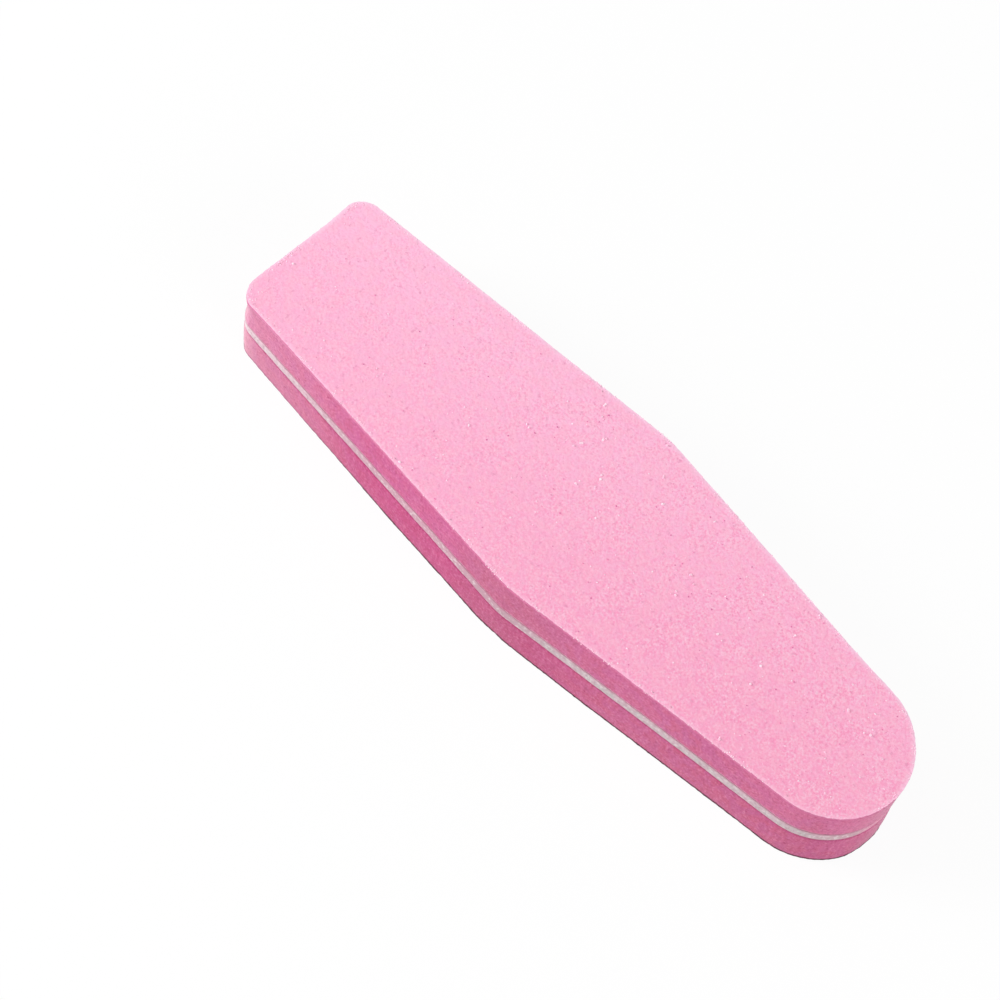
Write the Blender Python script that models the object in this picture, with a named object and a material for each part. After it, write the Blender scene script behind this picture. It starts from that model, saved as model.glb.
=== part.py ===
"""Double-sided sponge nail buffer: bonded layers die-cut together to one boat-shaped outline.

Metres, +Z up. The origin is under the middle of the length and width, on the face that rests
on the table. +Y runs along the length towards the round nose.
"""

import math

import bmesh
import bpy
from mathutils import Vector

# Outline seen from above: square end, straight flanks, soft shoulders, straight tapers, round nose
LENGTH = 0.0900
END_WIDTH = 0.0194
SHOULDER_WIDTH = 0.0269
SHOULDER_FROM_END = 0.0452
END_CORNER_RADIUS = 0.0026
SHOULDER_RADIUS = 0.0050
NOSE_RADIUS = 0.0090

# Thickness of each layer
FINE_COAT = 0.00012
COARSE_COAT = 0.00022
PAPER = 0.00018
TAPE = 0.00010
LOWER_PAD = 0.00450
UPPER_PAD = 0.00410
CORE = 0.00130

# Bonded faces stay this far apart, about the thickness of a pressed glue line
BOND = 0.00002

# The glue film stops short of the cut edge, and leaves a hairline groove on both sides of the core
TAPE_SET_BACK = 0.00020

# Foam walls swell a little between the sheets that hold them, and are rounded along the core
WALL_SWELL = 0.00006
PAD_LIP_RADIUS = 0.00018

# The cutting die goes in through the coarse face and rolls its rim down
ROLL_WIDTH = 0.00045
ROLL_DROP = 0.00010

# Facets
ARC_STEP = math.radians(5)
LIP_STEPS = 3
WALL_STEPS = 6
ROLL_STEPS = 3

# Surfaces: linear colour and roughness
PINK_GRIT = ((0.960, 0.440, 0.640), 0.75)
FINE_PINK_GRIT = ((0.960, 0.420, 0.620), 0.65)
PINK_PAPER = ((0.900, 0.500, 0.640), 0.85)
CLEAR_GLUE = ((0.420, 0.200, 0.260), 0.35)
PINK_FOAM = ((0.780, 0.200, 0.380), 0.90)
WHITE_BOARD = ((0.850, 0.800, 0.800), 0.60)


def heading(start, end):
    """The direction of travel from one point of the plan to another."""
    return math.atan2(end.y - start.y, end.x - start.x)


def outward(travel):
    """The unit vector to the right of the travel, which is outwards when going round anticlockwise."""
    return Vector((math.sin(travel), -math.cos(travel)))


def rounded(corner, arriving, leaving, radius):
    """The arc that rounds a corner between two headings, as (centre, radius, arriving, leaving)."""
    first = outward(arriving)
    last = outward(leaving)
    centre = corner - radius * (first + last) / (1 + first.dot(last))
    return centre, radius, arriving, leaving


def mirrored(arc):
    """The same arc on the other side of the length, still travelled anticlockwise."""
    centre, radius, arriving, leaving = arc
    return Vector((-centre.x, centre.y)), radius, math.tau - leaving, math.tau - arriving


def outline_arcs():
    """The five arcs of the outline. Straight edges join the end of each to the start of the next."""
    end_corner = Vector((END_WIDTH / 2, -LENGTH / 2))
    shoulder = Vector((SHOULDER_WIDTH / 2, SHOULDER_FROM_END - LENGTH / 2))
    nose_centre = Vector((0, LENGTH / 2 - NOSE_RADIUS))
    across = 0.0
    flank = heading(end_corner, shoulder)
    to_centre = nose_centre - shoulder
    taper = heading(shoulder, nose_centre) - math.asin(NOSE_RADIUS / to_centre.length)
    corner_arc = rounded(end_corner, across, flank, END_CORNER_RADIUS)
    shoulder_arc = rounded(shoulder, flank, taper, SHOULDER_RADIUS)
    nose_arc = (nose_centre, NOSE_RADIUS, taper, math.tau - taper)
    return [corner_arc, shoulder_arc, nose_arc, mirrored(shoulder_arc), mirrored(corner_arc)]


def outline(inset):
    """Points round the outline, anticlockwise, drawn in by inset all the way round."""
    points = []
    for centre, radius, arriving, leaving in outline_arcs():
        steps = math.ceil((leaving - arriving) / ARC_STEP)
        for step in range(steps + 1):
            travel = arriving + (leaving - arriving) * step / steps
            points.append(centre + (radius - inset) * outward(travel))
    return points


def flat_layer(name, underside, thickness, inset=0.0):
    """A sheet of the outline's shape: a filled flat curve, extruded by half its thickness each way."""
    curve = bpy.data.curves.new(name, "CURVE")
    curve.dimensions = "2D"
    curve.fill_mode = "BOTH"
    curve.extrude = thickness / 2
    places = outline(inset)
    spline = curve.splines.new("POLY")
    spline.points.add(len(places) - 1)
    for point, place in zip(spline.points, places):
        point.co = (place.x, place.y, 0, 1)
    spline.use_cyclic_u = True
    layer = bpy.data.objects.new(name, curve)
    layer.location.z = underside + thickness / 2
    layers.objects.link(layer)
    return layer


def start_shaping(layer):
    """Swaps a curve for a welded mesh object with one face on each side, and opens it as a bmesh."""
    name = layer.name
    graph = bpy.context.evaluated_depsgraph_get()
    mesh = bpy.data.meshes.new_from_object(layer.evaluated_get(graph))
    solid = bpy.data.objects.new(name, mesh)
    solid.matrix_world = layer.matrix_world
    layers.objects.link(solid)
    bpy.data.curves.remove(layer.data)
    solid.name = name
    mesh.name = name
    bm = bmesh.new()
    bm.from_mesh(mesh)
    bmesh.ops.remove_doubles(bm, verts=bm.verts, dist=BOND / 2)
    bmesh.ops.recalc_face_normals(bm, faces=bm.faces)
    for side in (-1, 1):
        cap = [face for face in bm.faces if face.normal.z * side > math.cos(ARC_STEP)]
        bmesh.ops.dissolve_faces(bm, faces=cap)
    return solid, bm


def finish_shaping(solid, bm):
    """Writes the shaped bmesh back into its object."""
    bm.to_mesh(solid.data)
    bm.free()
    return solid


def cap_of(bm, side):
    """The one flat face on the upper side, 1, or on the underside, -1."""
    return max(bm.faces, key=lambda face: face.calc_area() * face.normal.z * side)


def roll_drop(depth):
    """How far the rolled rim lies below the face, at this distance in from the cut edge."""
    return ROLL_DROP * max(0.0, 1 - depth / ROLL_WIDTH) ** 2


def roll_rim(bm, side, inset=0.0):
    """Rolls the rim of one face down, in rings that every rolled layer has at the same depths."""
    depths = [ROLL_WIDTH * step / ROLL_STEPS for step in range(1, ROLL_STEPS + 1)]
    depth = inset
    cap = cap_of(bm, side)
    level = cap.verts[0].co.z
    for vert in cap.verts:
        vert.co.z = level - roll_drop(depth)
    for next_depth in [ring for ring in depths if ring > inset]:
        bm.normal_update()
        bmesh.ops.inset_region(bm, faces=[cap], thickness=next_depth - depth, use_even_offset=True)
        depth = next_depth
        for vert in cap.verts:
            vert.co.z = level - roll_drop(depth)


def rolled_layer(name, underside, thickness, inset=0.0):
    """A sheet of the coarse side, whose rim is rolled down on both faces."""
    solid, bm = start_shaping(flat_layer(name, underside, thickness, inset))
    roll_rim(bm, 1, inset)
    roll_rim(bm, -1, inset)
    return finish_shaping(solid, bm)


def lip_inset(climb):
    """How far the rounded edge along the core is drawn in, at this height of wall above the core."""
    if climb >= PAD_LIP_RADIUS:
        return 0.0
    return PAD_LIP_RADIUS - math.sqrt(PAD_LIP_RADIUS**2 - (PAD_LIP_RADIUS - climb) ** 2)


def wall_rings(thickness):
    """Heights of the rings that shape a foam wall, counted from the core."""
    lip = [
        PAD_LIP_RADIUS * (1 - math.cos(math.pi / 2 * step / LIP_STEPS))
        for step in range(1, LIP_STEPS + 1)
    ]
    above = thickness - PAD_LIP_RADIUS
    wall = [PAD_LIP_RADIUS + above * step / WALL_STEPS for step in range(1, WALL_STEPS)]
    return lip + wall


def foam_pad(name, underside, thickness, core_side):
    """A sponge pad with swelling walls. core_side is 1 where the core lies above it and -1 below it."""
    solid, bm = start_shaping(flat_layer(name, underside, thickness))
    core_level = core_side * thickness / 2
    for climb in wall_rings(thickness):
        bmesh.ops.bisect_plane(
            bm,
            geom=bm.verts[:] + bm.edges[:] + bm.faces[:],
            plane_co=(0, 0, core_level - core_side * climb),
            plane_no=(0, 0, 1),
        )
    bm.normal_update()
    outward_of = {vert: Vector((vert.normal.x, vert.normal.y, 0)).normalized() for vert in bm.verts}
    for vert, direction in outward_of.items():
        climb = abs(core_level - vert.co.z)
        swell = WALL_SWELL * math.sin(math.pi * climb / thickness)
        vert.co += direction * (swell - lip_inset(climb))
    if core_side < 0:
        roll_rim(bm, 1)
    return finish_shaping(solid, bm)


def surface(name, colour, roughness):
    """A plain finish for one layer."""
    material = bpy.data.materials.new(name)
    material.use_nodes = True
    shader = material.node_tree.nodes["Principled BSDF"]
    shader.inputs["Base Color"].default_value = (*colour, 1)
    shader.inputs["Roughness"].default_value = roughness
    shader.inputs["Metallic"].default_value = 0.0
    material.diffuse_color = (*colour, 1)
    return material


def fine_grit_coat(underside):
    """The smooth polishing grain, which rests on the table."""
    return flat_layer("fine_grit_coat", underside, FINE_COAT)


def lower_abrasive_paper(underside):
    """The paper that carries the fine grain."""
    return flat_layer("lower_abrasive_paper", underside, PAPER)


def lower_paper_tape(underside):
    """The glue film between the lower paper and its foam."""
    return flat_layer("lower_paper_tape", underside, TAPE, TAPE_SET_BACK)


def lower_foam_pad(underside):
    """The sponge under the core."""
    return foam_pad("lower_foam_pad", underside, LOWER_PAD, 1)


def lower_core_tape(underside):
    """The glue film under the core."""
    return flat_layer("lower_core_tape", underside, TAPE, TAPE_SET_BACK)


def core_board(underside):
    """The stiff white board in the middle."""
    return flat_layer("core_board", underside, CORE)


def upper_core_tape(underside):
    """The glue film on top of the core."""
    return flat_layer("upper_core_tape", underside, TAPE, TAPE_SET_BACK)


def upper_foam_pad(underside):
    """The sponge on top of the core."""
    return foam_pad("upper_foam_pad", underside, UPPER_PAD, -1)


def upper_paper_tape(underside):
    """The glue film between the upper foam and its paper."""
    return rolled_layer("upper_paper_tape", underside, TAPE, TAPE_SET_BACK)


def upper_abrasive_paper(underside):
    """The paper that carries the coarse grain."""
    return rolled_layer("upper_abrasive_paper", underside, PAPER)


def coarse_grit_coat(underside):
    """The coarse filing grain on top."""
    return rolled_layer("coarse_grit_coat", underside, COARSE_COAT)


# The lay-up from the table upwards: what makes the layer, its thickness and its finish
LAY_UP = [
    (fine_grit_coat, FINE_COAT, FINE_PINK_GRIT),
    (lower_abrasive_paper, PAPER, PINK_PAPER),
    (lower_paper_tape, TAPE, CLEAR_GLUE),
    (lower_foam_pad, LOWER_PAD, PINK_FOAM),
    (lower_core_tape, TAPE, CLEAR_GLUE),
    (core_board, CORE, WHITE_BOARD),
    (upper_core_tape, TAPE, CLEAR_GLUE),
    (upper_foam_pad, UPPER_PAD, PINK_FOAM),
    (upper_paper_tape, TAPE, CLEAR_GLUE),
    (upper_abrasive_paper, PAPER, PINK_PAPER),
    (coarse_grit_coat, COARSE_COAT, PINK_GRIT),
]


def lay_up():
    """Stacks the layers with a glue line between each two, and hangs them on one empty."""
    base = bpy.data.objects.new("nail_buffer", None)
    layers.objects.link(base)
    underside = 0.0
    for make_layer, thickness, finish in LAY_UP:
        layer = make_layer(underside)
        layer.data.materials.clear()
        layer.data.materials.append(surface(layer.name, *finish))
        layer.parent = base
        underside += thickness + BOND


for old in list(bpy.data.objects):
    bpy.data.objects.remove(old)
layers = bpy.data.collections.new("nail_buffer")
bpy.context.scene.collection.children.link(layers)
lay_up()
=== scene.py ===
"""The looks of a double-sided sponge nail buffer: grain, sponge walls, paper rims and white core.

Metres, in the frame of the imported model. The coarse grain faces up and the round nose faces +Y.
"""

import math
import random

import bmesh
import bpy
import numpy as np
from mathutils import Euler, Matrix, Vector, noise


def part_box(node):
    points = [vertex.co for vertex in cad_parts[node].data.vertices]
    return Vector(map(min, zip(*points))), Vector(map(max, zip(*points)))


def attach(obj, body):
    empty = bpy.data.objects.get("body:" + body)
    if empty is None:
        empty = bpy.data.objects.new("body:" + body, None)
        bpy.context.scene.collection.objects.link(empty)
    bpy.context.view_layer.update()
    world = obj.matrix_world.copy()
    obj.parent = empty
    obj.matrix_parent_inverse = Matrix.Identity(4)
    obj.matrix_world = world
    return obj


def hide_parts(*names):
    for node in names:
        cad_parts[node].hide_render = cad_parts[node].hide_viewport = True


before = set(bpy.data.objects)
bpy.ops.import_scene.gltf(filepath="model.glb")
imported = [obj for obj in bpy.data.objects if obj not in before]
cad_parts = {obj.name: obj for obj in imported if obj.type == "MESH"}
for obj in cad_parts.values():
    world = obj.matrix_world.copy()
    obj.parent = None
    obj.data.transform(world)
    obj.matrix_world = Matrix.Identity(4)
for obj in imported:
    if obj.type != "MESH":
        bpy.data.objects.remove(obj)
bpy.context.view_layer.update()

# Camera, solved from the buffer's outline in the photograph
CAMERA_PLACE = Vector((0.15137, 0.06828, 0.30393))
CAMERA_TARGET = Vector((0.00363, -0.00902, 0.00560))
CAMERA_ROLL = math.radians(18.75)
FOCAL_PIXELS = 3100
FRAME_PIXELS = 1000
SENSOR_WIDTH_MM = 36
NEAREST_SEEN = 0.01
FURTHEST_SEEN = 20.0

# Studio. Sky, lamps and floor together light a face that looks up at about 1
SKY_STRENGTH = 0.42
FLOOR_SIZE = 6.0
BACKDROP_SHARE = 0.93

# Lamps, which all look at the middle of the floor: place, size, watts
SIDE_LAMP = (Vector((0.275, -0.41, 0.24)), 0.25, 2.0)
TOP_LAMP = (Vector((0.22, -0.34, 0.63)), 0.50, 0.80)
BACK_LAMP = (Vector((0.10, 0.77, 0.45)), 0.50, 3.4)

# The die's cut waves a little. Below the core it leans towards the nose. Above the core its sides
# lean in and its ends lean out
CUT_WAVE = 0.00005
CUT_WAVE_LENGTH = 0.011
LEAN_BELOW = 0.00032
LEAN_IN_ABOVE = 0.00006
LEAN_OUT_ABOVE = 0.00010

# Near the square end the sides of the cut flare, from the bottom to the top
FLARE_START = -0.0165
FLARE_BELOW = 0.0152
FLARE_ABOVE = 0.006

# The cut is worn back at the shoulders, more towards the top and the bottom
WORN_PLACE = 0.0002
WORN_REACH = 0.0015
WORN_ABOVE = 0.00007
WORN_BELOW = 0.00019

# Bulges and dips of the cut: place, reach, and how far out at the top, the core and the bottom
BULGES = (
    (Vector((-0.0076, -0.0450)), 0.0017, 0.00025, 0.0, 0.0),
    (Vector((0.0084, -0.0449)), 0.0011, -0.00012, 0.0, 0.0),
    (Vector((0.0098, -0.0430)), 0.0013, 0.00009, 0.0, 0.0),
    (Vector((0.0092, -0.0440)), 0.0018, 0.0, -0.00011, 0.0),
    (Vector((-0.0090, 0.0372)), 0.0040, 0.00022, 0.0, 0.0),
    (Vector((0.0087, 0.0385)), 0.0030, 0.00006, 0.0, 0.0),
    (Vector((0.0042, 0.0438)), 0.0025, 0.0, 0.0, 0.00008),
    (Vector((0.0008, 0.0450)), 0.0017, -0.00005, 0.0, -0.00008),
    (Vector((-0.0030, 0.0445)), 0.0015, 0.0, 0.0, -0.00018),
    (Vector((0.0120, 0.0140)), 0.0080, -0.00009, 0.0, 0.00008),
)

# Hollows of the upper sponge's wall, by the square end and at the nose: place, reach, depth
HOLLOWS = (
    (Vector((0.0094, -0.0440)), 0.0022, 0.00026),
    (Vector((0.0003, 0.0450)), 0.0035, 0.00010),
)

# The rims of the layers between the papers sag, most at the core and at the shoulders. They are
# level further in
SAG = 0.00006
SHOULDER_SAG = 0.00034
SAG_PLACE = -0.0012
SAG_REACH = 0.0085
SAG_INSIDE = 0.0012

# The die rolls the rims of the upper layers down. The coarse face bridges most of the drop, and
# the rim of the fine face is hardly rolled
RIM_WIDTH = 0.00045
RIM_DROP = 0.00010
COARSE_RIM_DROP = 0.00002
FINE_RIM_DROP = 0.00001
RIM_RINGS = 4

# Rims of the grain: width of their pale tone, which is partly pressed coating and partly painted
# highlight, how ragged they are, in waves of (share, length), and the height of the cut edge that
# shows. Inside the rim the face gives way with the cut
RIM_TONE = 0.0007
RIM_RAGGED = 0.00005
RIM_WAVES = (1.0, 0.0004), (0.5, 0.0015)
CUT_EDGE = 0.00002
GIVE = 0.0020

# Faces of grain: spacing of the mesh, size of the grain and depth of its relief, whose waves are
# (share of the depth, share of the size). The mesh is shaken by a share of its spacing
COARSE_SPACING = 0.000155
COARSE_GRAIN = 0.00036
COARSE_RELIEF = 0.000034
FINE_SPACING = 0.00028
FINE_GRAIN = 0.00060
FINE_RELIEF = 0.000010
RELIEF_SHARES = (1.0, 1.0), (0.6, 0.5), (0.3, 9.0)
SHAKE_SHARE = 0.3
FAR_AWAY = Vector((9, 9, 9))

# Loose grains on the coarse face, as (how many, most in a clump, size, share bedded), with the
# seed of their places and how much they gather towards the nose
# The bright grains are near-white: partly pale grain, partly painted glints
BRIGHT_GRAINS = (215, 1, 0.00026, 0.42), (38, 2, 0.00042, 0.36)
BRIGHT_SEED = 11
BRIGHT_GATHER = 0.5
DARK_GRAINS = ((140, 1, 0.00024, 0.38),)
DARK_SEED = 12
DARK_GATHER = 0.65

# A loose grain's own range of sizes, the spread of its clump, and its shape, as shares of its size
GRAIN_SIZE_SHARES = 0.6, 1.1
GRAIN_SPREAD_SHARE = 0.9
GRAIN_WIDTH_SHARES = 0.6, 1.0
GRAIN_DEPTH_SHARES = 0.5, 0.9
GRAIN_MIDDLE_SHARE = 0.35

# Crumbs along the rim of the coarse face: tries, range of size, mean and spread of how far in they
# lie, the length of the stretches that have them, and how strictly the others are cleared
CRUMB_TRIES = 1900
CRUMB_SEED = 23
CRUMB_SIZES = 0.00009, 0.00023
CRUMB_INSIDE = 0.00012, 0.00020
CRUMB_STRETCH = 0.0035
CRUMB_CLEARING = -0.25, 0.45

# Sponge walls. Beside the paper a lip hides the set-back end of its glue film
WALL_SPACING = 0.00014
WALL_SWELL = 0.00006
LIP_WIDTH = 0.00015
LIP_HEIGHT = 0.00012
# Height of the painted shade along the sponge's joint with the core
JOINT_SHADE_HEIGHT = 0.00016

# The sponge's edge along the core, rounded unevenly, in waves of (share, length)
EDGE_RADIUS = 0.00015
EDGE_WAVES = (0.6, 0.0011), (0.4, 0.0004)

# Open cells of the sponge, in patches, on a surface that waves by shares of their depth
CELL_SIZE = 0.00042
CELL_DEPTH = 0.000035
CELL_OPEN_SHARE = 0.55
CELL_PATCH = 0.0013
CELL_WAVES = (0.5, 0.00030), (0.5, 0.0030)

# Mesh along the cut of the core and the papers
CUT_SPACING = 0.00020

# The core's cut: its softened edges, and its chatter in waves of (depth, length)
CORE_RECESS = 0.00001
CORE_EDGE = 0.00012
CORE_EDGE_WORN = 0.00006
CORE_EDGE_SHARES = 0.0, 0.2, 0.5
CORE_WAVES = (0.00002, 0.0018), (0.00001, 0.0005)

# The darker band along the core's edges, partly pink stain and partly painted shade under the
# pads, which waves, and doubles its width at the nose
STAIN_AND_SHADE_WIDTH = 0.00015
STAIN_AND_SHADE_WAVES = ((0.5, 0.0012),)
STAIN_AND_SHADE_WIDENS_FROM = 0.039
STAIN_AND_SHADE_WIDENS_OVER = 0.004

# Papers, with their fibres in waves of (share, length), and glue films
PAPER_ROWS = 3
FIBRE_DEPTH = 0.00002
FIBRE_WAVES = (1.0, 0.00035), (0.7, 0.0013)
TAPE_SPACING = 0.00040
TAPE_SET_BACK = 0.00020

# Where a colour comes in along the buffer, from none of it to all of it
TO_NOSE = -0.045, 0.045
# Painted highlight on the rim of the square end
END_RIM_HIGHLIGHT = -0.043, -0.045
# Painted reflection of the bright floor, paler towards the square end
PAINTED_END_REFLECTION = -0.022, -0.050
PAPER_PAINTED_END_REFLECTION = -0.016, -0.036
# Painted light on the sponge walls at the nose
NOSE = 0.030, 0.045
# Deeper pink before the shoulders, partly painted reflection of pink light
DEEP_FROM = -0.032, -0.020
# Painted shade at the shoulders
SHOULDER_FROM = -0.009, -0.003
SHOULDER_TO = 0.016, -0.001
# Painted highlight at the tip of the sponge's nose
SPONGE_TIP = 0.0430, 0.0445
# Deeper pink of the core before the shoulders, partly painted reflection of pink light
CORE_DEEP_FROM = -0.046, -0.014
CORE_DEEP_TO = 0.009, -0.003
CORE_NOSE = 0.040, 0.0445
CORE_TIP = 0.0425, 0.0440

# The length over which a sponge's deep colour ends, and where the painted highlight of its square
# end's corners is whole
DEEP_ENDS_OVER = 0.012
END_HIGHLIGHT_WHOLE = -0.0446

# Where a colour comes in across the buffer
# Painted sheen on the coarse face, growing towards the far side
TO_FAR_SIDE_PAINTED_SHEEN = 0.0135, -0.0135
# Painted highlight on the far rims
FAR_RIM_HIGHLIGHT = 0.005, -0.006
# Painted highlight at the tip of the sponge's nose, across
SPONGE_TIP_ACROSS = 0.0040, -0.0020
CORE_TIP_NEAR = 0.0038, 0.0016
CORE_TIP_FAR = -0.0036, -0.0010

# Sizes of the patterns in the finishes
COARSE_MOTTLE = 0.00027
COARSE_CLUMPS = 0.0034
COARSE_PATCHES = 0.0014
COARSE_MARKS = 0.00050
FINE_MOTTLE = 0.00022
FINE_PATCHES = 0.0020
FINE_MARKS = 0.00040
SPONGE_CELLS = 0.00032
SPONGE_PATCHES = 0.0015
SPONGE_CLOUDS = 0.009
SPONGE_STREAKS = 0.00045
SPONGE_DOTS = 0.00042
PAPER_FIBRES = 0.00030
CORE_CLOUDS = 0.0011
CORE_SPOTS = 0.00045
CORE_SAW_MARKS = 0.00040
CORE_SMEARS = 0.0007
GLUE_CLOUDS = 0.0010
GRAIN_CLOUDS = 0.0006

# Depths of their bumps
COARSE_BUMP = 0.000045
FINE_BUMP = 0.00003
SPONGE_BUMP = 0.00005
PAPER_BUMP = 0.00003
CORE_BUMP = 0.00002

# One step aside in a pattern, and patterns drawn out upwards or flattened
ASIDE = 0.1
DRAWN_UP = (1.0, 1.0, 0.2)
FLATTENED = (1.0, 1.0, 3.0)

# Decimals of a corner's place in metres that hold for all the triangles that share it
SHARED_DECIMALS = 7


class Signal:
    """A shader value that Python arithmetic works on."""

    def __init__(self, finish, socket):
        self.finish = finish
        self.socket = socket

    def __add__(self, other):
        return self.finish.math("ADD", self, other)

    def __radd__(self, other):
        return self.finish.math("ADD", other, self)

    def __mul__(self, other):
        return self.finish.math("MULTIPLY", self, other)

    def __rmul__(self, other):
        return self.finish.math("MULTIPLY", other, self)


class Finish:
    """A procedural material on one Principled shader."""

    def __init__(self, name):
        self.material = bpy.data.materials.new(name)
        self.material.use_nodes = True
        self.tree = self.material.node_tree
        self.tree.nodes.clear()
        self.shader = self.tree.nodes.new("ShaderNodeBsdfPrincipled")
        self.output = self.tree.nodes.new("ShaderNodeOutputMaterial")
        self.tree.links.new(self.shader.outputs["BSDF"], self.output.inputs["Surface"])
        self.place = self.node("TexCoord", output="Object")

    def feed(self, socket, value):
        """Links a signal to a socket, or sets a plain value on it."""
        if isinstance(value, Signal):
            self.tree.links.new(value.socket, socket)
        else:
            socket.default_value = value

    def node(self, kind, settings=None, inputs=None, output=0):
        """Adds one node: its settings first, then its sockets by name or number."""
        node = self.tree.nodes.new("ShaderNode" + kind)
        for key, value in (settings or {}).items():
            setattr(node, key, value)
        for key, value in (inputs or {}).items():
            self.feed(node.inputs[key], value)
        return Signal(self, node.outputs[output])

    def math(self, operation, first, second):
        return self.node("Math", {"operation": operation}, {0: first, 1: second})

    def span(self, value, low, high, to_low=0.0, to_high=1.0):
        """Maps low..high smoothly to to_low..to_high."""
        inputs = {0: value, 1: low, 2: high, 3: to_low, 4: to_high}
        return self.node("MapRange", {"interpolation_type": "SMOOTHSTEP"}, inputs)

    def blend(self, share, first, second):
        """A colour between two, by share."""
        inputs = {0: share, 6: first, 7: second}
        return self.node("Mix", {"data_type": "RGBA"}, inputs, output=2)

    def tinted(self, colour, *tints):
        """A colour with tints laid over it in turn, each as (share, tint)."""
        for share, tint in tints:
            colour = self.blend(share, colour, tint)
        return colour

    def along(self, start, end):
        """From 0 to 1 between two places along the buffer."""
        return self.span(self.node("SeparateXYZ", inputs={0: self.place}, output="Y"), start, end)

    def across(self, start, end):
        """From 0 to 1 between two places across the buffer."""
        return self.span(self.node("SeparateXYZ", inputs={0: self.place}, output="X"), start, end)

    def stretched(self, scale):
        """Object coordinates scaled by a factor on each axis."""
        return self.node("Mapping", inputs={"Vector": self.place, "Scale": scale})

    def shifted(self, steps):
        """Object coordinates some steps aside, so that two patterns of one size don't agree."""
        location = (ASIDE * steps,) * 3
        return self.node("Mapping", inputs={"Vector": self.place, "Location": location})

    def mottle(self, size, detail=2.0, roughness=0.5, place=None):
        """Cloudy noise from 0 to 1 whose blotches are about this size."""
        inputs = {
            "Vector": place or self.place,
            "Scale": 1 / size,
            "Detail": detail,
            "Roughness": roughness,
        }
        return self.node("TexNoise", inputs=inputs)

    def attribute(self, name):
        return self.node("Attribute", {"attribute_name": name}, output="Fac")

    def bump(self, height, depth):
        """A normal roughened by a height from 0 to 1 over this depth in metres."""
        return self.node("Bump", inputs={"Height": height, "Distance": depth, "Strength": 1.0})

    def set(self, **sockets):
        """Feeds the shader's sockets, with spaces written as underscores."""
        for key, value in sockets.items():
            self.feed(self.shader.inputs[key.replace("_", " ")], value)
        return self.material


def pink(red, green, blue):
    """A colour given as display values from 0 to 255, as linear light."""
    return tuple(((value / 255 + 0.055) / 1.055) ** 2.4 for value in (red, green, blue)) + (1.0,)


def coarse_grain_finish():
    """Pink resin full of pale and mauve grain, in clumps, with a pale rim that is partly painted
    highlight, a painted sheen and a darker cut.
    """
    finish = Finish("coarse_grain")
    to_nose = finish.along(*TO_NOSE)
    grain = finish.mottle(COARSE_MOTTLE, roughness=0.65)
    clumps = finish.span(finish.mottle(COARSE_CLUMPS, roughness=0.6), 0.37, 0.63, 0.50, 1.0)
    clumps = clumps * (0.44 + 0.46 * to_nose)
    patches = finish.mottle(COARSE_PATCHES, place=finish.shifted(2))
    marks = finish.mottle(COARSE_MARKS, place=finish.shifted(1))
    rim = finish.attribute("rim")
    far_rim_painted_highlight = finish.across(*FAR_RIM_HIGHLIGHT) * 0.36 + finish.along(*END_RIM_HIGHLIGHT) * 0.08
    # Painted sheen: the pinks pale towards the square end and towards the far side
    near_pink_painted_sheen = finish.blend(to_nose, pink(251, 178, 210), pink(250, 166, 200))
    far_pink_painted_sheen = finish.blend(to_nose, pink(255, 190, 221), pink(255, 179, 212))
    colour = finish.tinted(
        finish.blend(finish.across(*TO_FAR_SIDE_PAINTED_SHEEN), near_pink_painted_sheen, far_pink_painted_sheen),
        (finish.span(patches, 0.40, 0.60) * 0.30, pink(255, 186, 204)),
        (finish.span(grain, 0.51, 0.66) * clumps * 0.85, pink(255, 204, 226)),
        (finish.span(grain, 0.49, 0.36) * clumps, pink(249, 150, 190)),
        (finish.span(marks, 0.64, 0.72) * 0.44, pink(226, 137, 176)),
        # Pale rim: partly pressed coating at the cut, partly painted highlight, strongest on the
        # far rims
        (rim * (rim * 0.39 + far_rim_painted_highlight), pink(255, 214, 236)),
        (finish.attribute("cut"), pink(216, 122, 164)),
    )
    dullness = finish.span(grain, 0.3, 0.7, 0.85, 0.50)
    normal = finish.bump(grain, COARSE_BUMP)
    return finish.set(Base_Color=colour, Roughness=dullness, Normal=normal)


def fine_grain_finish():
    """The smoother polishing side, in the same pink, with a few dark grains, a partly painted pale
    rim and a painted contact shadow on its cut.
    """
    finish = Finish("fine_grain")
    grain = finish.mottle(FINE_MOTTLE, roughness=0.6)
    patches = finish.span(finish.mottle(FINE_PATCHES), 0.35, 0.65)
    marks = finish.mottle(FINE_MARKS, detail=1.0, place=finish.shifted(1))
    rim = finish.attribute("rim")
    # Painted contact shadow: the cut is near-black along the bottom edge, and paler towards the
    # square end as painted reflection
    cut = finish.blend(finish.along(*PAPER_PAINTED_END_REFLECTION) * 0.75, pink(50, 22, 34), pink(190, 126, 154))
    colour = finish.tinted(
        finish.blend(patches, pink(251, 168, 205), pink(254, 174, 206)),
        (finish.span(grain, 0.40, 0.65) * 0.35, pink(255, 190, 216)),
        (finish.span(marks, 0.74, 0.80) * 0.7, pink(206, 114, 158)),
        # Pale rim, partly painted highlight
        (rim * rim * 0.40, pink(255, 200, 224)),
        (finish.attribute("cut"), cut),
    )
    return finish.set(Base_Color=colour, Roughness=0.62, Normal=finish.bump(grain, FINE_BUMP))


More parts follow.
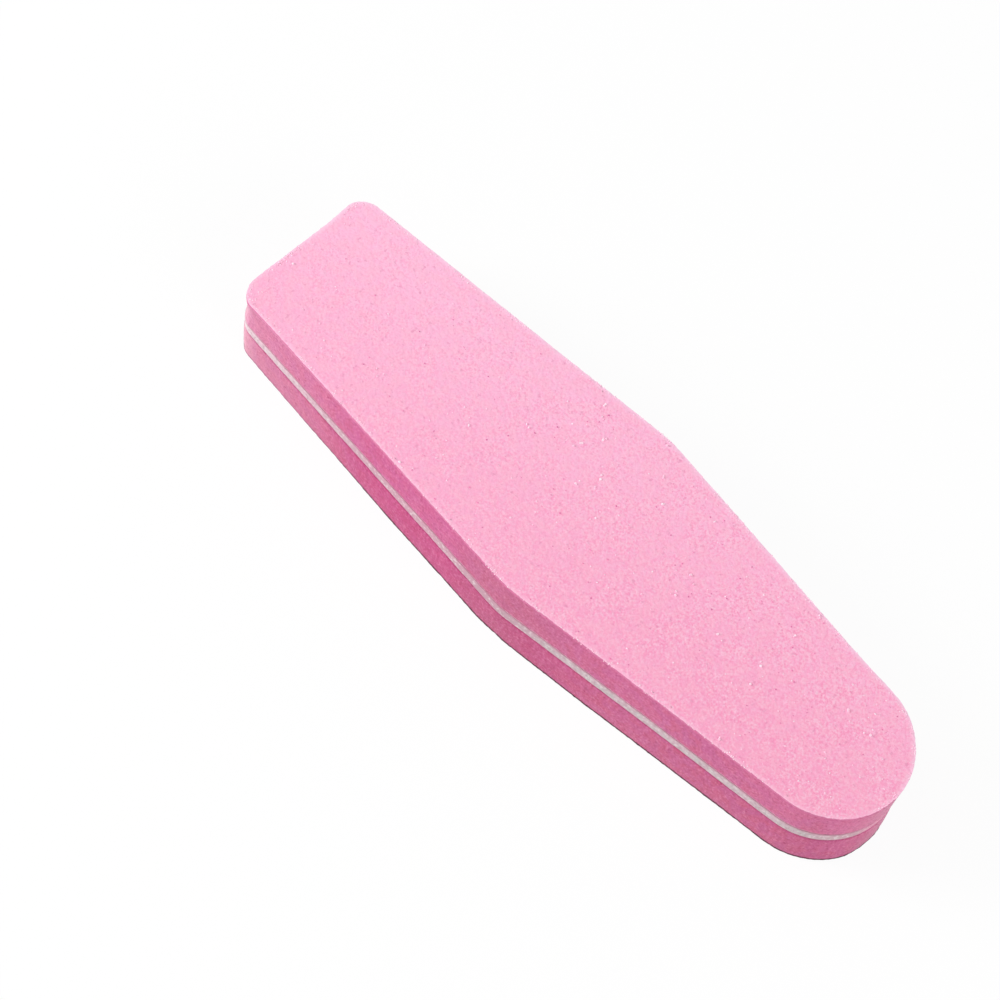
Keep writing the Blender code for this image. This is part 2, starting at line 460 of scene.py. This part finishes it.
def sponge_finish(name, mauve, rose, warm, deep, deep_share, deep_end, nose, end_highlight_from):
    """Cut sponge with open cells, painted shade along the core, a deep pink before the shoulders
    that is partly painted reflection, and painted light at both ends.
    """
    finish = Finish(name)
    cells = finish.mottle(SPONGE_CELLS, roughness=0.65)
    patches = finish.span(finish.mottle(SPONGE_PATCHES), 0.38, 0.62)
    clouds = finish.span(finish.mottle(SPONGE_CLOUDS, place=finish.shifted(3)), 0.35, 0.65)
    streaks = finish.mottle(SPONGE_STREAKS, place=finish.stretched(DRAWN_UP))
    dots = finish.mottle(SPONGE_DOTS, detail=1.0, place=finish.shifted(1))
    deep_and_painted_reflection = finish.along(*DEEP_FROM) * finish.along(deep_end, deep_end - DEEP_ENDS_OVER)
    shoulder = finish.along(*SHOULDER_FROM) * finish.along(*SHOULDER_TO)
    tip = finish.across(*SPONGE_TIP_ACROSS) * finish.along(*SPONGE_TIP)
    colour = finish.tinted(
        finish.blend(patches, mauve, rose),
        (clouds * 0.5, warm),
        # Deeper pink before the shoulders, partly painted reflection of pink light
        (deep_and_painted_reflection * deep_share, deep),
        # Painted shade: darker and greyer at the shoulders
        (shoulder * 0.30, pink(168, 94, 116)),
        # Painted reflection: paler towards the square end
        (finish.along(*PAINTED_END_REFLECTION) * 0.50, pink(219, 152, 181)),
        # Painted light: paler at the nose, most on the upper sponge
        (finish.along(*NOSE) * 0.35, nose),
        # Painted highlight on the rounded corners of the square end
        (finish.along(end_highlight_from, END_HIGHLIGHT_WHOLE) * 0.50, pink(238, 196, 206)),
        # Painted highlight at the tip of the nose
        (tip * 0.36, pink(240, 165, 195)),
        (finish.span(streaks, 0.45, 0.70) * 0.20, pink(220, 130, 170)),
        (finish.span(cells, 0.54, 0.68) * 0.17, pink(255, 190, 220)),
        (finish.span(cells, 0.47, 0.33) * 0.29, pink(140, 0, 60)),
        # Tone: open cells, and painted shade along the joint with the core
        (finish.attribute("tone") * 0.55, pink(166, 74, 112)),
        (finish.span(dots, 0.70, 0.77) * 0.65, pink(164, 42, 98)),
    )
    finish.set(Base_Color=colour, Roughness=0.88, Normal=finish.bump(cells, SPONGE_BUMP))
    return finish.set(Specular_IOR_Level=0.30, Sheen_Weight=0.45, Sheen_Roughness=0.3)


def paper_finish(name, dark, pale):
    """The cut edge of an abrasive's dyed paper, with its fibres, paler at the square end as
    painted reflection.
    """
    finish = Finish(name)
    flattened = finish.stretched(FLATTENED)
    fibres = finish.mottle(PAPER_FIBRES, detail=3.0, roughness=0.7, place=flattened)
    colour = finish.tinted(
        finish.blend(finish.span(fibres, 0.3, 0.7), dark, pale),
        (finish.along(*PAPER_PAINTED_END_REFLECTION) * 0.60, pink(214, 146, 176)),
    )
    return finish.set(Base_Color=colour, Roughness=0.85, Normal=finish.bump(fibres, PAPER_BUMP))


def core_finish():
    """The board's cut edge: off-white darkened by painted shade, clouded and grained, with pink
    stains from the sponge and painted shade along its edges.
    """
    finish = Finish("core_board")
    clouds = finish.span(finish.mottle(CORE_CLOUDS, detail=3.0, roughness=0.6), 0.38, 0.62)
    spots = finish.mottle(CORE_SPOTS, roughness=0.6, place=finish.shifted(1))
    saw = finish.mottle(CORE_SAW_MARKS, roughness=0.6, place=finish.stretched(DRAWN_UP))
    smears = finish.mottle(CORE_SMEARS, roughness=0.6, place=finish.shifted(2))
    deep_and_painted_reflection = finish.along(*CORE_DEEP_TO) * finish.along(*CORE_DEEP_FROM)
    shoulder = finish.along(*SHOULDER_FROM) * finish.along(*SHOULDER_TO)
    painted_end_reflection = finish.along(*PAINTED_END_REFLECTION)
    tip = finish.across(*CORE_TIP_NEAR) * finish.across(*CORE_TIP_FAR) * finish.along(*CORE_TIP)
    stain_and_shade = finish.blend(painted_end_reflection * 0.70, pink(188, 126, 150), pink(226, 186, 200))
    colour = finish.tinted(
        # Greyish pinks darker than the white board: painted shade
        finish.blend(clouds, pink(193, 184, 184), pink(205, 180, 188)),
        # Deeper pink before the shoulders, partly painted reflection of pink light
        (deep_and_painted_reflection * 0.66, pink(204, 140, 163)),
        # Painted shade: darker and greyer at the shoulders
        (shoulder * 0.25, pink(160, 124, 138)),
        (finish.along(*CORE_NOSE) * 0.52, pink(200, 130, 152)),
        # Painted reflection: paler towards the square end
        (painted_end_reflection * 0.58, pink(238, 208, 218)),
        (finish.span(spots, 0.52, 0.66) * 0.7, pink(224, 212, 213)),
        (finish.span(spots, 0.47, 0.34) * 0.7, pink(184, 152, 162)),
        (finish.span(saw, 0.5, 0.8) * 0.25, pink(186, 168, 168)),
        # Darker bands at the edges: partly pink stain, partly painted shade under the pads
        (finish.attribute("tone") * 0.75, stain_and_shade),
        (tip * finish.span(smears, 0.35, 0.65, 0.62, 0.88), pink(222, 133, 167)),
    )
    return finish.set(Base_Color=colour, Roughness=0.6, Normal=finish.bump(saw, CORE_BUMP))


def glue_finish():
    """A glue film, which reads dark in the joint."""
    finish = Finish("adhesive_film")
    clouds = finish.mottle(GLUE_CLOUDS)
    colour = finish.blend(clouds, pink(150, 80, 112), pink(178, 104, 134))
    return finish.set(Base_Color=colour, Roughness=finish.span(clouds, 0.2, 0.8, 0.3, 0.5))


def grain_finish(name, first, second, glossy, dull):
    """One kind of loose grain, each a little different in colour and gloss."""
    finish = Finish(name)
    clouds = finish.mottle(GRAIN_CLOUDS, detail=1.0)
    colour = finish.blend(finish.span(clouds, 0.42, 0.58), first, second)
    return finish.set(Base_Color=colour, Roughness=finish.span(clouds, 0.3, 0.7, glossy, dull))


def cut_line(node):
    """The die's line round a flat layer, anticlockwise in plan. The outline is convex."""
    low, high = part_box(node)
    middle = (low.z + high.z) / 2
    corners = [vert.co.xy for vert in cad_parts[node].data.vertices if vert.co.z < middle]
    rim = {tuple(round(value, SHARED_DECIMALS) for value in corner) for corner in corners}
    return np.array(sorted(rim, key=lambda place: math.atan2(place[1], place[0])))


LINE = cut_line("core_board")
LINE_STEPS = np.roll(LINE, -1, axis=0) - LINE
LINE_LENGTHS = np.linalg.norm(LINE_STEPS, axis=1)
LINE_OUTWARD = np.stack([LINE_STEPS[:, 1], -LINE_STEPS[:, 0]], axis=1) / LINE_LENGTHS[:, None]
CORE_MIDDLE = sum(corner.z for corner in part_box("core_board")) / 2
PADS_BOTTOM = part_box("lower_foam_pad")[0].z
PADS_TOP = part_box("upper_foam_pad")[1].z


def depths_and_outward(places):
    """How far in plan each place lies inside the line, and its way out, blended round corners."""
    gaps = -((places[:, None, :] - LINE[None]) * LINE_OUTWARD[None]).sum(axis=2)
    depth = gaps.min(axis=1)
    weights = np.exp((depth[:, None] - gaps) / RIM_WIDTH)
    outward = weights @ LINE_OUTWARD
    return depth, outward / np.linalg.norm(outward, axis=1)[:, None]


def places_of(verts):
    """The places in plan of these vertices."""
    return np.array([vert.co[:2] for vert in verts])


def outward_at(verts):
    """The way out at each of these vertices."""
    return [Vector(away) for away in depths_and_outward(places_of(verts))[1]]


def along_line(spacing):
    """Evenly spaced points round the line, with the way out at each."""
    ends = np.concatenate([[0.0], np.cumsum(LINE_LENGTHS)])
    count = round(ends[-1] / spacing)
    reach = np.arange(count) * ends[-1] / count
    closed = np.vstack([LINE, LINE[:1]])
    places = np.stack([np.interp(reach, ends, closed[:, axis]) for axis in (0, 1)], axis=1)
    return places, depths_and_outward(places)[1]


def waves(spot, kinds):
    """Noise at a spot, added up over kinds given as (height, length)."""
    return sum(height * noise.noise(spot / length) for height, length in kinds)


def nearness(spot, place, reach):
    """From 0 far from a place in plan to 1 at it."""
    return math.exp(-(((spot.xy - place).length / reach) ** 2))


def nearness_along(spot, place, reach):
    """From 0 far from a place along the buffer to 1 at it."""
    return math.exp(-(((spot.y - place) / reach) ** 2))


def bulge_at(spot, climb):
    """How far the cut bulges out. climb is 0 at the core, 1 at the top and -1 at the bottom."""
    total = 0.0
    for place, reach, at_top, at_core, at_bottom in BULGES:
        at_end = at_top if climb > 0 else at_bottom
        bulge = at_core + (at_end - at_core) * min(1.0, abs(climb))
        total += nearness(spot, place, reach) * bulge
    return total


def hollow_at(spot):
    """How far in the middle of the upper sponge's wall lies near this spot."""
    return sum(depth * nearness(spot, place, reach) for place, reach, depth in HOLLOWS)


def cut_wander(spot, away):
    """How far outwards the cut strays from the die's line."""
    climb = spot.z / CORE_MIDDLE - 1
    flare = max(0.0, FLARE_START - spot.y) * abs(away[0])
    worn = abs(away[0]) * nearness_along(spot, WORN_PLACE, WORN_REACH)
    if climb > 0:
        lean = LEAN_OUT_ABOVE * abs(away[1]) - LEAN_IN_ABOVE
        stray = climb * (FLARE_ABOVE * flare + lean - WORN_ABOVE * worn)
    else:
        stray = climb * (FLARE_BELOW * flare - LEAN_BELOW * away[1] + WORN_BELOW * worn)
    return CUT_WAVE * noise.noise(spot / CUT_WAVE_LENGTH) + stray + bulge_at(spot, climb)


def sag_at(spot, depth):
    """How far a layer between the two papers sags, at this depth inside the die's line."""
    from_bottom = (spot.z - PADS_BOTTOM) / (CORE_MIDDLE - PADS_BOTTOM)
    from_top = (PADS_TOP - spot.z) / (PADS_TOP - CORE_MIDDLE)
    share = max(0.0, min(from_bottom, from_top))
    shoulder = nearness_along(spot, SAG_PLACE, SAG_REACH)
    return (SAG + SHOULDER_SAG * shoulder) * share * (1 - depth / SAG_INSIDE)


def rim_fall(depth, drop=RIM_DROP):
    """How far a rolled layer lies below its level, at this depth inside the die's line."""
    return drop * max(0.0, 1 - depth / RIM_WIDTH) ** 2


def add_piece(bm, name, material, replaced=None, smooth=True):
    """Makes the bmesh a piece of the buffer."""
    for face in bm.faces:
        face.smooth = smooth
    mesh = bpy.data.meshes.new(name)
    bm.to_mesh(mesh)
    bm.free()
    piece = bpy.data.objects.new(name, mesh)
    bpy.context.scene.collection.objects.link(piece)
    mesh.materials.append(material)
    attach(piece, "root")
    if replaced:
        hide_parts(replaced)
    return piece


def extrude_rim(bm, edges):
    """Extrudes a loop of edges, and gives the new vertices and edges."""
    made = bmesh.ops.extrude_edge_only(bm, edges=edges)["geom"]
    verts = [item for item in made if isinstance(item, bmesh.types.BMVert)]
    loop = [item for item in made if isinstance(item, bmesh.types.BMEdge) and item.is_boundary]
    return verts, loop


def crease(edges):
    """Keeps the shading sharp across these edges."""
    for edge in edges:
        edge.smooth = False


def draw_in(bm, edges, distance, fall=0.0):
    """Extrudes a rim inwards in plan and down, and gives its new edges."""
    verts, loop = extrude_rim(bm, edges)
    for vert, away in zip(verts, outward_at(verts)):
        vert.co.xy -= away * distance
        vert.co.z -= fall
    return loop


def close_face(bm, edges, rolled_at=None):
    """Closes a hidden face. A rolled one, cut this deep inside the line, climbs inwards first."""
    crease(edges)
    if rolled_at is not None:
        step = RIM_WIDTH / RIM_RINGS
        for ring in range(RIM_RINGS):
            depth = rolled_at + step * ring
            edges = draw_in(bm, edges, step, rim_fall(depth + step) - rim_fall(depth))
    bmesh.ops.contextual_create(bm, geom=edges)


def trimmed_grid(bm, spacing):
    """A grid of squares trimmed to the die's line, less the width of the rim."""
    low = LINE.min(axis=0)
    high = LINE.max(axis=0)
    size = high - low
    middle = (low + high) / 2
    across, along = np.ceil(size / spacing).astype(int)
    bmesh.ops.create_grid(bm, x_segments=int(across), y_segments=int(along), size=0.5)
    place = Matrix.Translation((*middle, 0)) @ Matrix.Diagonal((*size, 1, 1))
    bmesh.ops.transform(bm, matrix=place, verts=bm.verts)
    tolerance = spacing / 100
    for corner, outward in zip(LINE, LINE_OUTWARD):
        inside = corner - outward * RIM_WIDTH
        bmesh.ops.bisect_plane(
            bm,
            geom=bm.verts[:] + bm.edges[:] + bm.faces[:],
            dist=tolerance,
            plane_co=(*inside, 0),
            plane_no=(*outward, 0),
            clear_outer=True,
        )


def grain_height(spot, size):
    """The relief of packed grain, from about -1 to 1."""
    return waves(spot, [(height, size * length) for height, length in RELIEF_SHARES])


def grain_face(node, spacing, size, relief, side, drop, rolled_at=None):
    """A coat of grain: a rough face, a ragged rim and a cut edge. side is 1 up and -1 down."""
    low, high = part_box(node)
    face_level = high.z if side > 0 else low.z
    back_level = low.z if side > 0 else high.z
    bm = bmesh.new()
    trimmed_grid(bm, spacing)
    rim = bm.verts.layers.float.new("rim")
    cut = bm.verts.layers.float.new("cut")
    for vert, depth, away in zip(bm.verts, *depths_and_outward(places_of(bm.verts))):
        vert[rim] = max(0.0, 1 - depth / RIM_TONE)
        square = vert.co / spacing
        vert.co.z = face_level + side * relief * (grain_height(vert.co, size) - 1)
        if not vert.is_boundary:
            shake = Vector((noise.noise(square), noise.noise(square + FAR_AWAY)))
            vert.co.xy += shake * spacing * SHAKE_SHARE
        giving = 1 - (depth - RIM_WIDTH) / GIVE
        if giving > 0:
            vert.co.xy += Vector(away) * cut_wander(vert.co, away) * min(1.0, giving)
    edges = [edge for edge in bm.edges if edge.is_boundary]
    for ring in range(1, RIM_RINGS + 1):
        verts, edges = extrude_rim(bm, edges)
        inside = RIM_WIDTH * (1 - ring / RIM_RINGS)
        ragged = RIM_RAGGED if ring == RIM_RINGS else 0.0
        for vert, away in zip(verts, outward_at(verts)):
            vert.co.xy += away * (RIM_WIDTH / RIM_RINGS + ragged * waves(vert.co, RIM_WAVES))
            height = grain_height(Vector((*vert.co.xy, 0)), size)
            vert.co.z = face_level + side * (relief * (height - 1) - rim_fall(inside, drop))
            vert[rim] = 1 - inside / RIM_TONE
    crease(edges)
    verts, edges = extrude_rim(bm, edges)
    for vert in verts:
        vert.co.z -= side * CUT_EDGE
        vert[cut] = 1.0
    verts, edges = extrude_rim(bm, edges)
    for vert in verts:
        vert.co.z = back_level
        vert[cut] = 1.0
    close_face(bm, edges, rolled_at)
    bmesh.ops.recalc_face_normals(bm, faces=bm.faces)
    return bm


def walled_piece(
    spacing, rows, shape, lip_top=0.0, lip_under=0.0, rolled_top=None, rolled_under=None
):
    """A closed layer with a finely meshed wall.

    rows are the heights of the wall from the bottom up. shape(spot, away) gives how far the wall
    stands out there, and a tone from 0 to 1 that the finish reads. A lip stands this high round a
    hidden face.
    """
    places, outward = along_line(spacing)
    bm = bmesh.new()
    tone = bm.verts.layers.float.new("tone")
    column = bm.verts.layers.int.new("column")
    ring = [bm.verts.new((*place, rows[0])) for place in places]
    for number, vert in enumerate(ring):
        vert[column] = number
    edges = [bm.edges.new(pair) for pair in zip(ring, ring[1:] + ring[:1])]
    underside = edges
    for number, height in enumerate(rows):
        if number:
            ring, edges = extrude_rim(bm, edges)
        for vert in ring:
            place = places[vert[column]]
            away = outward[vert[column]]
            spot = Vector((*place, height))
            push, vert[tone] = shape(spot, away)
            vert.co = (*(place + away * push), height - sag_at(spot, -push))
    ends = (
        (edges, rows[-1], lip_top, rolled_top),
        (underside, rows[0], -lip_under, rolled_under),
    )
    for loop, height, lip, rolled_at in ends:
        crease(loop)
        if lip:
            loop = draw_in(bm, loop, LIP_WIDTH)
            loop = draw_in(bm, loop, 0.0, lip)
        elif rolled_at is None:
            inner, loop = extrude_rim(bm, loop)
            for vert in inner:
                place = places[vert[column]] - outward[vert[column]] * SAG_INSIDE
                vert.co = (*place, height)
        close_face(bm, loop, rolled_at)
    bmesh.ops.recalc_face_normals(bm, faces=bm.faces)
    return bm


def even_rows(bottom, top, spacing):
    """Heights from the bottom to the top, about this far apart."""
    count = round((top - bottom) / spacing)
    return [bottom + (top - bottom) * row / count for row in range(count + 1)]


def sponge_pad(name, node, core_side, material):
    """A sponge pad with swelling walls, open cells at the cut and a soft edge along the core."""
    low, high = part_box(node)
    upper = core_side < 0
    bottom = low.z if upper else low.z - LIP_HEIGHT
    top = high.z - RIM_DROP + LIP_HEIGHT if upper else high.z
    core_level = low.z if upper else high.z

    def shape(spot, away):
        climb = abs(spot.z - core_level)
        swell = WALL_SWELL - (hollow_at(spot) if upper else 0.0)
        swell *= math.sin(math.pi * min(1.0, climb / (top - bottom)))
        radius = EDGE_RADIUS * (1 + waves(spot, EDGE_WAVES))
        worn = radius - math.sqrt(max(0.0, radius**2 - max(0.0, radius - climb) ** 2))
        from_middle = noise.voronoi(spot / CELL_SIZE)[0][0] / CELL_OPEN_SHARE
        cell = max(0.0, 1 - from_middle) * max(0.0, 0.5 + noise.noise(spot / CELL_PATCH))
        pitted = CELL_DEPTH * (waves(spot, CELL_WAVES) - cell)
        joint_shade = max(0.0, 1 - climb / JOINT_SHADE_HEIGHT)
        return cut_wander(spot, away) + swell - worn + pitted, min(1.0, cell + joint_shade)

    rows = even_rows(bottom, top, WALL_SPACING)
    if upper:
        lip = {"lip_top": LIP_HEIGHT, "rolled_top": LIP_WIDTH}
    else:
        lip = {"lip_under": LIP_HEIGHT}
    bm = walled_piece(WALL_SPACING, rows, shape, **lip)
    pad = add_piece(bm, name, material, node)


def core_piece(material):
    """The core, with softened edges and a darker band along them, partly stain and partly painted
    shade.
    """
    low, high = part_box("core_board")

    def shape(spot, away):
        from_edge = min(spot.z - low.z, high.z - spot.z)
        worn = max(0.0, 1 - from_edge / CORE_EDGE)
        recess = CORE_RECESS + CORE_EDGE_WORN * worn**2
        wider = 1 + min(1.0, max(0.0, (spot.y - STAIN_AND_SHADE_WIDENS_FROM) / STAIN_AND_SHADE_WIDENS_OVER))
        width = STAIN_AND_SHADE_WIDTH * wider * (1 + waves(spot, STAIN_AND_SHADE_WAVES))
        stain_and_shade = max(0.0, 1 - from_edge / width)
        return cut_wander(spot, away) + waves(spot, CORE_WAVES) - recess, stain_and_shade

    edge_rows = [low.z + CORE_EDGE * share for share in CORE_EDGE_SHARES]
    edge_rows_above = [high.z - CORE_EDGE * share for share in reversed(CORE_EDGE_SHARES)]
    rows = even_rows(low.z + CORE_EDGE, high.z - CORE_EDGE, CUT_SPACING)
    bm = walled_piece(CUT_SPACING, edge_rows + rows + edge_rows_above, shape)
    add_piece(bm, "core", material, "core_board")


def paper_piece(name, node, material, rolled_at=None):
    """The abrasive's paper, with fibres along its cut."""
    low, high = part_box(node)
    top = high.z - (RIM_DROP if rolled_at is not None else 0.0)

    def shape(spot, away):
        return cut_wander(spot, away) + FIBRE_DEPTH * waves(spot, FIBRE_WAVES), 0.0

    rows = even_rows(low.z, top, (top - low.z) / PAPER_ROWS)
    bm = walled_piece(CUT_SPACING, rows, shape, rolled_top=rolled_at, rolled_under=rolled_at)
    add_piece(bm, name, material, node)


def tape_piece(name, node, material, rolled_at=None):
    """A glue film, which stops short of the cut."""
    low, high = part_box(node)
    top = high.z - (rim_fall(rolled_at) if rolled_at is not None else 0.0)

    def shape(spot, away):
        return cut_wander(spot, away) - TAPE_SET_BACK, 0.0

    rows = [low.z, top]
    bm = walled_piece(TAPE_SPACING, rows, shape, rolled_top=rolled_at, rolled_under=rolled_at)
    add_piece(bm, name, material, node)


def random_turn(dice):
    return Euler([dice.uniform(0, math.tau) for _ in range(3)]).to_matrix().to_4x4()


def add_grain(bm, dice, spot, size):
    """One faceted grain of about this size, turned and squeezed at random."""
    width = size * dice.uniform(*GRAIN_WIDTH_SHARES)
    depth = size * dice.uniform(*GRAIN_DEPTH_SHARES)
    squeeze = Matrix.Diagonal((size, width, depth, 1))
    place = Matrix.Translation(spot) @ random_turn(dice) @ squeeze
    bmesh.ops.create_icosphere(bm, subdivisions=1, radius=0.5, matrix=place)


def scattered(dice, count, gather):
    """Random places in plan inside the rim, by a share closer together towards the nose."""
    low = LINE.min(axis=0)
    high = LINE.max(axis=0)
    found = []
    while len(found) < count:
        place = np.array([[dice.uniform(low[0], high[0]), dice.uniform(low[1], high[1])]])
        to_nose = (place[0][1] - low[1]) / (high[1] - low[1])
        chosen = dice.random() < 1 - gather * (1 - to_nose)
        if chosen and depths_and_outward(place)[0][0] > RIM_WIDTH:
            found.append(Vector(place[0]))
    return found


def bedded_grains(name, material, kinds, seed, gather):
    """Grains bedded in the coarse face, singly or in clumps."""
    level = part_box("coarse_grit_coat")[1].z - COARSE_RELIEF
    dice = random.Random(seed)
    bm = bmesh.new()
    for count, clump, size, bedded in kinds:
        spread = size * GRAIN_SPREAD_SHARE
        for middle in scattered(dice, count, gather):
            for _ in range(dice.randint(1, clump)):
                grain = size * dice.uniform(*GRAIN_SIZE_SHARES)
                x = middle.x + dice.uniform(-spread, spread) * (clump > 1)
                y = middle.y + dice.uniform(-spread, spread) * (clump > 1)
                add_grain(bm, dice, (x, y, level + grain * (GRAIN_MIDDLE_SHARE - bedded)), grain)
    add_piece(bm, name, material, smooth=False)


def rim_crumbs(material):
    """Crumbs of resin that the die broke off the rim of the coarse face, here and there."""
    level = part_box("coarse_grit_coat")[1].z - COARSE_RELIEF
    dice = random.Random(CRUMB_SEED)
    places, outward = along_line(CUT_SPACING)
    bm = bmesh.new()
    for _ in range(CRUMB_TRIES):
        number = dice.randrange(len(places))
        inside = abs(dice.gauss(*CRUMB_INSIDE))
        size = dice.uniform(*CRUMB_SIZES)
        stretch = noise.noise(Vector((*places[number], 0)) / CRUMB_STRETCH)
        if stretch >= dice.uniform(*CRUMB_CLEARING):
            x, y = places[number] - outward[number] * inside
            add_grain(bm, dice, (x, y, level - rim_fall(inside, COARSE_RIM_DROP)), size)
    add_piece(bm, "rim_crumbs", material, smooth=False)


def build_buffer():
    upper_foam = sponge_finish(
        "upper_sponge",
        mauve=pink(197, 97, 147),
        rose=pink(201, 94, 134),
        warm=pink(205, 104, 147),
        deep=pink(202, 80, 142),
        deep_share=0.42,
        deep_end=0.000,
        nose=pink(222, 124, 164),
        end_highlight_from=-0.0422,
    )
    # The lower sponge's pinks are darker than the upper's: painted shade nearer the floor
    lower_foam = sponge_finish(
        "lower_sponge",
        mauve=pink(192, 92, 140),
        rose=pink(196, 89, 127),
        warm=pink(199, 99, 140),
        deep=pink(192, 62, 124),
        deep_share=0.66,
        deep_end=0.016,
        nose=pink(200, 98, 140),
        end_highlight_from=-0.0405,
    )
    glue = glue_finish()
    upper_paper = paper_finish("upper_paper", pink(198, 92, 138), pink(222, 128, 168))
    # The lower paper's cut is near-black as painted contact shadow along the bottom edge
    lower_paper = paper_finish("lower_paper", pink(98, 46, 66), pink(128, 70, 92))
    # Near-white grains: partly pale grain, partly painted glints
    white = grain_finish("bright_grain", pink(255, 202, 224), pink(255, 226, 238), 0.45, 0.60)
    mauve = grain_finish("dark_grain", pink(240, 142, 188), pink(218, 110, 164), 0.60, 0.80)
    coarse = grain_face(
        "coarse_grit_coat",
        spacing=COARSE_SPACING,
        size=COARSE_GRAIN,
        relief=COARSE_RELIEF,
        side=1,
        drop=COARSE_RIM_DROP,
        rolled_at=0.0,
    )
    add_piece(coarse, "coarse_face", coarse_grain_finish(), "coarse_grit_coat")
    fine = grain_face(
        "fine_grit_coat",
        spacing=FINE_SPACING,
        size=FINE_GRAIN,
        relief=FINE_RELIEF,
        side=-1,
        drop=FINE_RIM_DROP,
    )
    add_piece(fine, "fine_face", fine_grain_finish(), "fine_grit_coat")
    sponge_pad("upper_sponge", "upper_foam_pad", -1, upper_foam)
    sponge_pad("lower_sponge", "lower_foam_pad", 1, lower_foam)
    core_piece(core_finish())
    paper_piece("upper_paper", "upper_abrasive_paper", upper_paper, 0.0)
    paper_piece("lower_paper", "lower_abrasive_paper", lower_paper)
    tape_piece("upper_paper_glue", "upper_paper_tape", glue, TAPE_SET_BACK)
    tape_piece("lower_paper_glue", "lower_paper_tape", glue)
    tape_piece("upper_core_glue", "upper_core_tape", glue)
    tape_piece("lower_core_glue", "lower_core_tape", glue)
    bedded_grains("bright_grains", white, BRIGHT_GRAINS, BRIGHT_SEED, BRIGHT_GATHER)
    bedded_grains("dark_grains", mauve, DARK_GRAINS, DARK_SEED, DARK_GATHER)
    rim_crumbs(white)


def floor_finish():
    """White paper that fades towards pure white for the camera, and keeps part of the shadow."""
    finish = Finish("floor")
    finish.set(Base_Color=pink(248, 248, 248), Roughness=0.9)
    kinds = "Is Camera Ray", "Is Glossy Ray", "Is Transmission Ray"
    rays = [finish.node("LightPath", output=kind) for kind in kinds]
    glow = finish.node("Emission")
    share = sum(rays[1:], rays[0]) * BACKDROP_SHARE
    lit = Signal(finish, finish.shader.outputs["BSDF"])
    mixed = finish.node("MixShader", inputs={0: share, 1: lit, 2: glow})
    finish.feed(finish.output.inputs["Surface"], mixed)
    return finish.material


def build_floor():
    bm = bmesh.new()
    bmesh.ops.create_grid(bm, x_segments=1, y_segments=1, size=FLOOR_SIZE / 2)
    mesh = bpy.data.meshes.new("floor")
    bm.to_mesh(mesh)
    bm.free()
    floor = bpy.data.objects.new("floor", mesh)
    bpy.context.scene.collection.objects.link(floor)
    mesh.materials.append(floor_finish())


def soft_lamp(name, place, size, watts):
    light = bpy.data.lights.new(name, "AREA")
    light.shape = "DISK"
    light.size = size
    light.energy = watts
    lamp = bpy.data.objects.new(name, light)
    lamp.location = place
    lamp.rotation_euler = (-place).to_track_quat("-Z", "Y").to_euler()
    lamp.visible_camera = False
    bpy.context.scene.collection.objects.link(lamp)


def build_studio():
    """The lamps, and a sky that lights the buffer softly and shows white to the camera."""
    world = bpy.data.worlds.new("sky")
    bpy.context.scene.world = world
    world.use_nodes = True
    tree = world.node_tree
    path = tree.nodes.new("ShaderNodeLightPath")
    level = tree.nodes.new("ShaderNodeMapRange")
    level.inputs["To Min"].default_value = SKY_STRENGTH
    level.inputs["To Max"].default_value = 1.0
    tree.links.new(path.outputs["Is Camera Ray"], level.inputs["Value"])
    tree.links.new(level.outputs[0], tree.nodes["Background"].inputs["Strength"])
    tree.nodes["Background"].inputs["Color"].default_value = (1, 1, 1, 1)
    soft_lamp("side_lamp", *SIDE_LAMP)
    soft_lamp("top_lamp", *TOP_LAMP)
    soft_lamp("back_lamp", *BACK_LAMP)
    bpy.context.scene.view_settings.view_transform = "Standard"


def build_camera():
    camera = bpy.data.cameras.new("camera")
    camera.sensor_width = SENSOR_WIDTH_MM
    camera.lens = SENSOR_WIDTH_MM * FOCAL_PIXELS / FRAME_PIXELS
    camera.clip_start = NEAREST_SEEN
    camera.clip_end = FURTHEST_SEEN
    viewer = bpy.data.objects.new("camera", camera)
    aim = (CAMERA_TARGET - CAMERA_PLACE).to_track_quat("-Z", "Y")
    roll = Matrix.Rotation(CAMERA_ROLL, 3, "Z")
    viewer.rotation_euler = (aim.to_matrix() @ roll).to_euler()
    viewer.location = CAMERA_PLACE
    bpy.context.scene.collection.objects.link(viewer)
    bpy.context.scene.camera = viewer


build_camera()
build_buffer()
build_floor()
build_studio()
